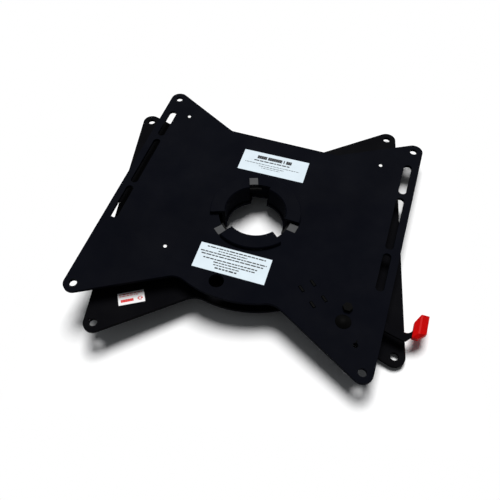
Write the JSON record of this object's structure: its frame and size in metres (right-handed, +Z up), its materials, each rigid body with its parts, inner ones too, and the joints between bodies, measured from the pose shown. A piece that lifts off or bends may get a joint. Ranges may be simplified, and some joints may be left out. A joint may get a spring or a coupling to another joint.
{
  "type": "swivel seat base",
  "caption": "Swivel seat base: two black steel plates that turn on a lugged hub, with a sprung side lever and red grip that release the latch.",
  "frame": {"origin": "centre of the base plate's bolt pattern, on the swivel's axis, at the base plate's underside", "axes": "+Z up along the swivel's axis, X and Y along the sides of the base plate's bolt pattern"},
  "size_m": [0.425, 0.4188, 0.0315],
  "materials": {
    "black_steel": "satin",
    "bright_steel": "satin",
    "zinc": "satin",
    "black_zinc": "satin",
    "grey_plastic": "matte",
    "black_plastic": "matte",
    "stud_white": "matte",
    "red_plastic": "gloss",
    "label_blue": "satin",
    "label_white": "satin"
  },
  "bodies": {
    "base": {"base_plate": "black_steel", "hub": "black_steel", "hub_rivets": "bright_steel", "spacer_ring": "black_steel", "index_ring": "black_steel", "slip_ring": "black_plastic", "base_label": "label_white"},
    "seat": {"seat_plate": "black_steel", "guide_pads": "grey_plastic", "glide_studs": "stud_white", "upper_label": "label_blue", "lower_label": "label_blue", "pivot_bolt": "black_zinc", "pivot_washer": "zinc", "pivot_nut": "zinc", "stop_screw": "black_zinc", "stop_nut": "zinc", "inner_guide": "black_zinc", "outer_guide": "black_zinc", "return_spring": "black_zinc"},
    "lever": {"lever": "black_steel", "drive_pin": "bright_steel", "grip": "red_plastic"},
    "latch": {"latch_bar": "bright_steel"}
  },
  "joints": [
    {"name": "swivel", "type": "hinge", "parent": "base", "child": "seat", "pos_m": [0, 0, 0], "axis": [0, 0, 1], "continuous": true},
    {"name": "lever_pivot", "type": "hinge", "parent": "seat", "child": "lever", "pos_m": [0.1115, -0.14044, 0.0171], "axis": [0, 0, 1], "range_deg": [0, 12], "stiffness_Nm_per_rad": 0.3, "deforming": ["return_spring"]},
    {"name": "latch_slide", "type": "slide", "parent": "seat", "child": "latch", "axis": [0.5754, -0.8179, 0], "range_m": [0, 0.0038]}
  ],
  "couplings": [
    {"joint": "latch_slide", "follows": "lever_pivot", "m_per_rad": 0.01767}
  ]
}
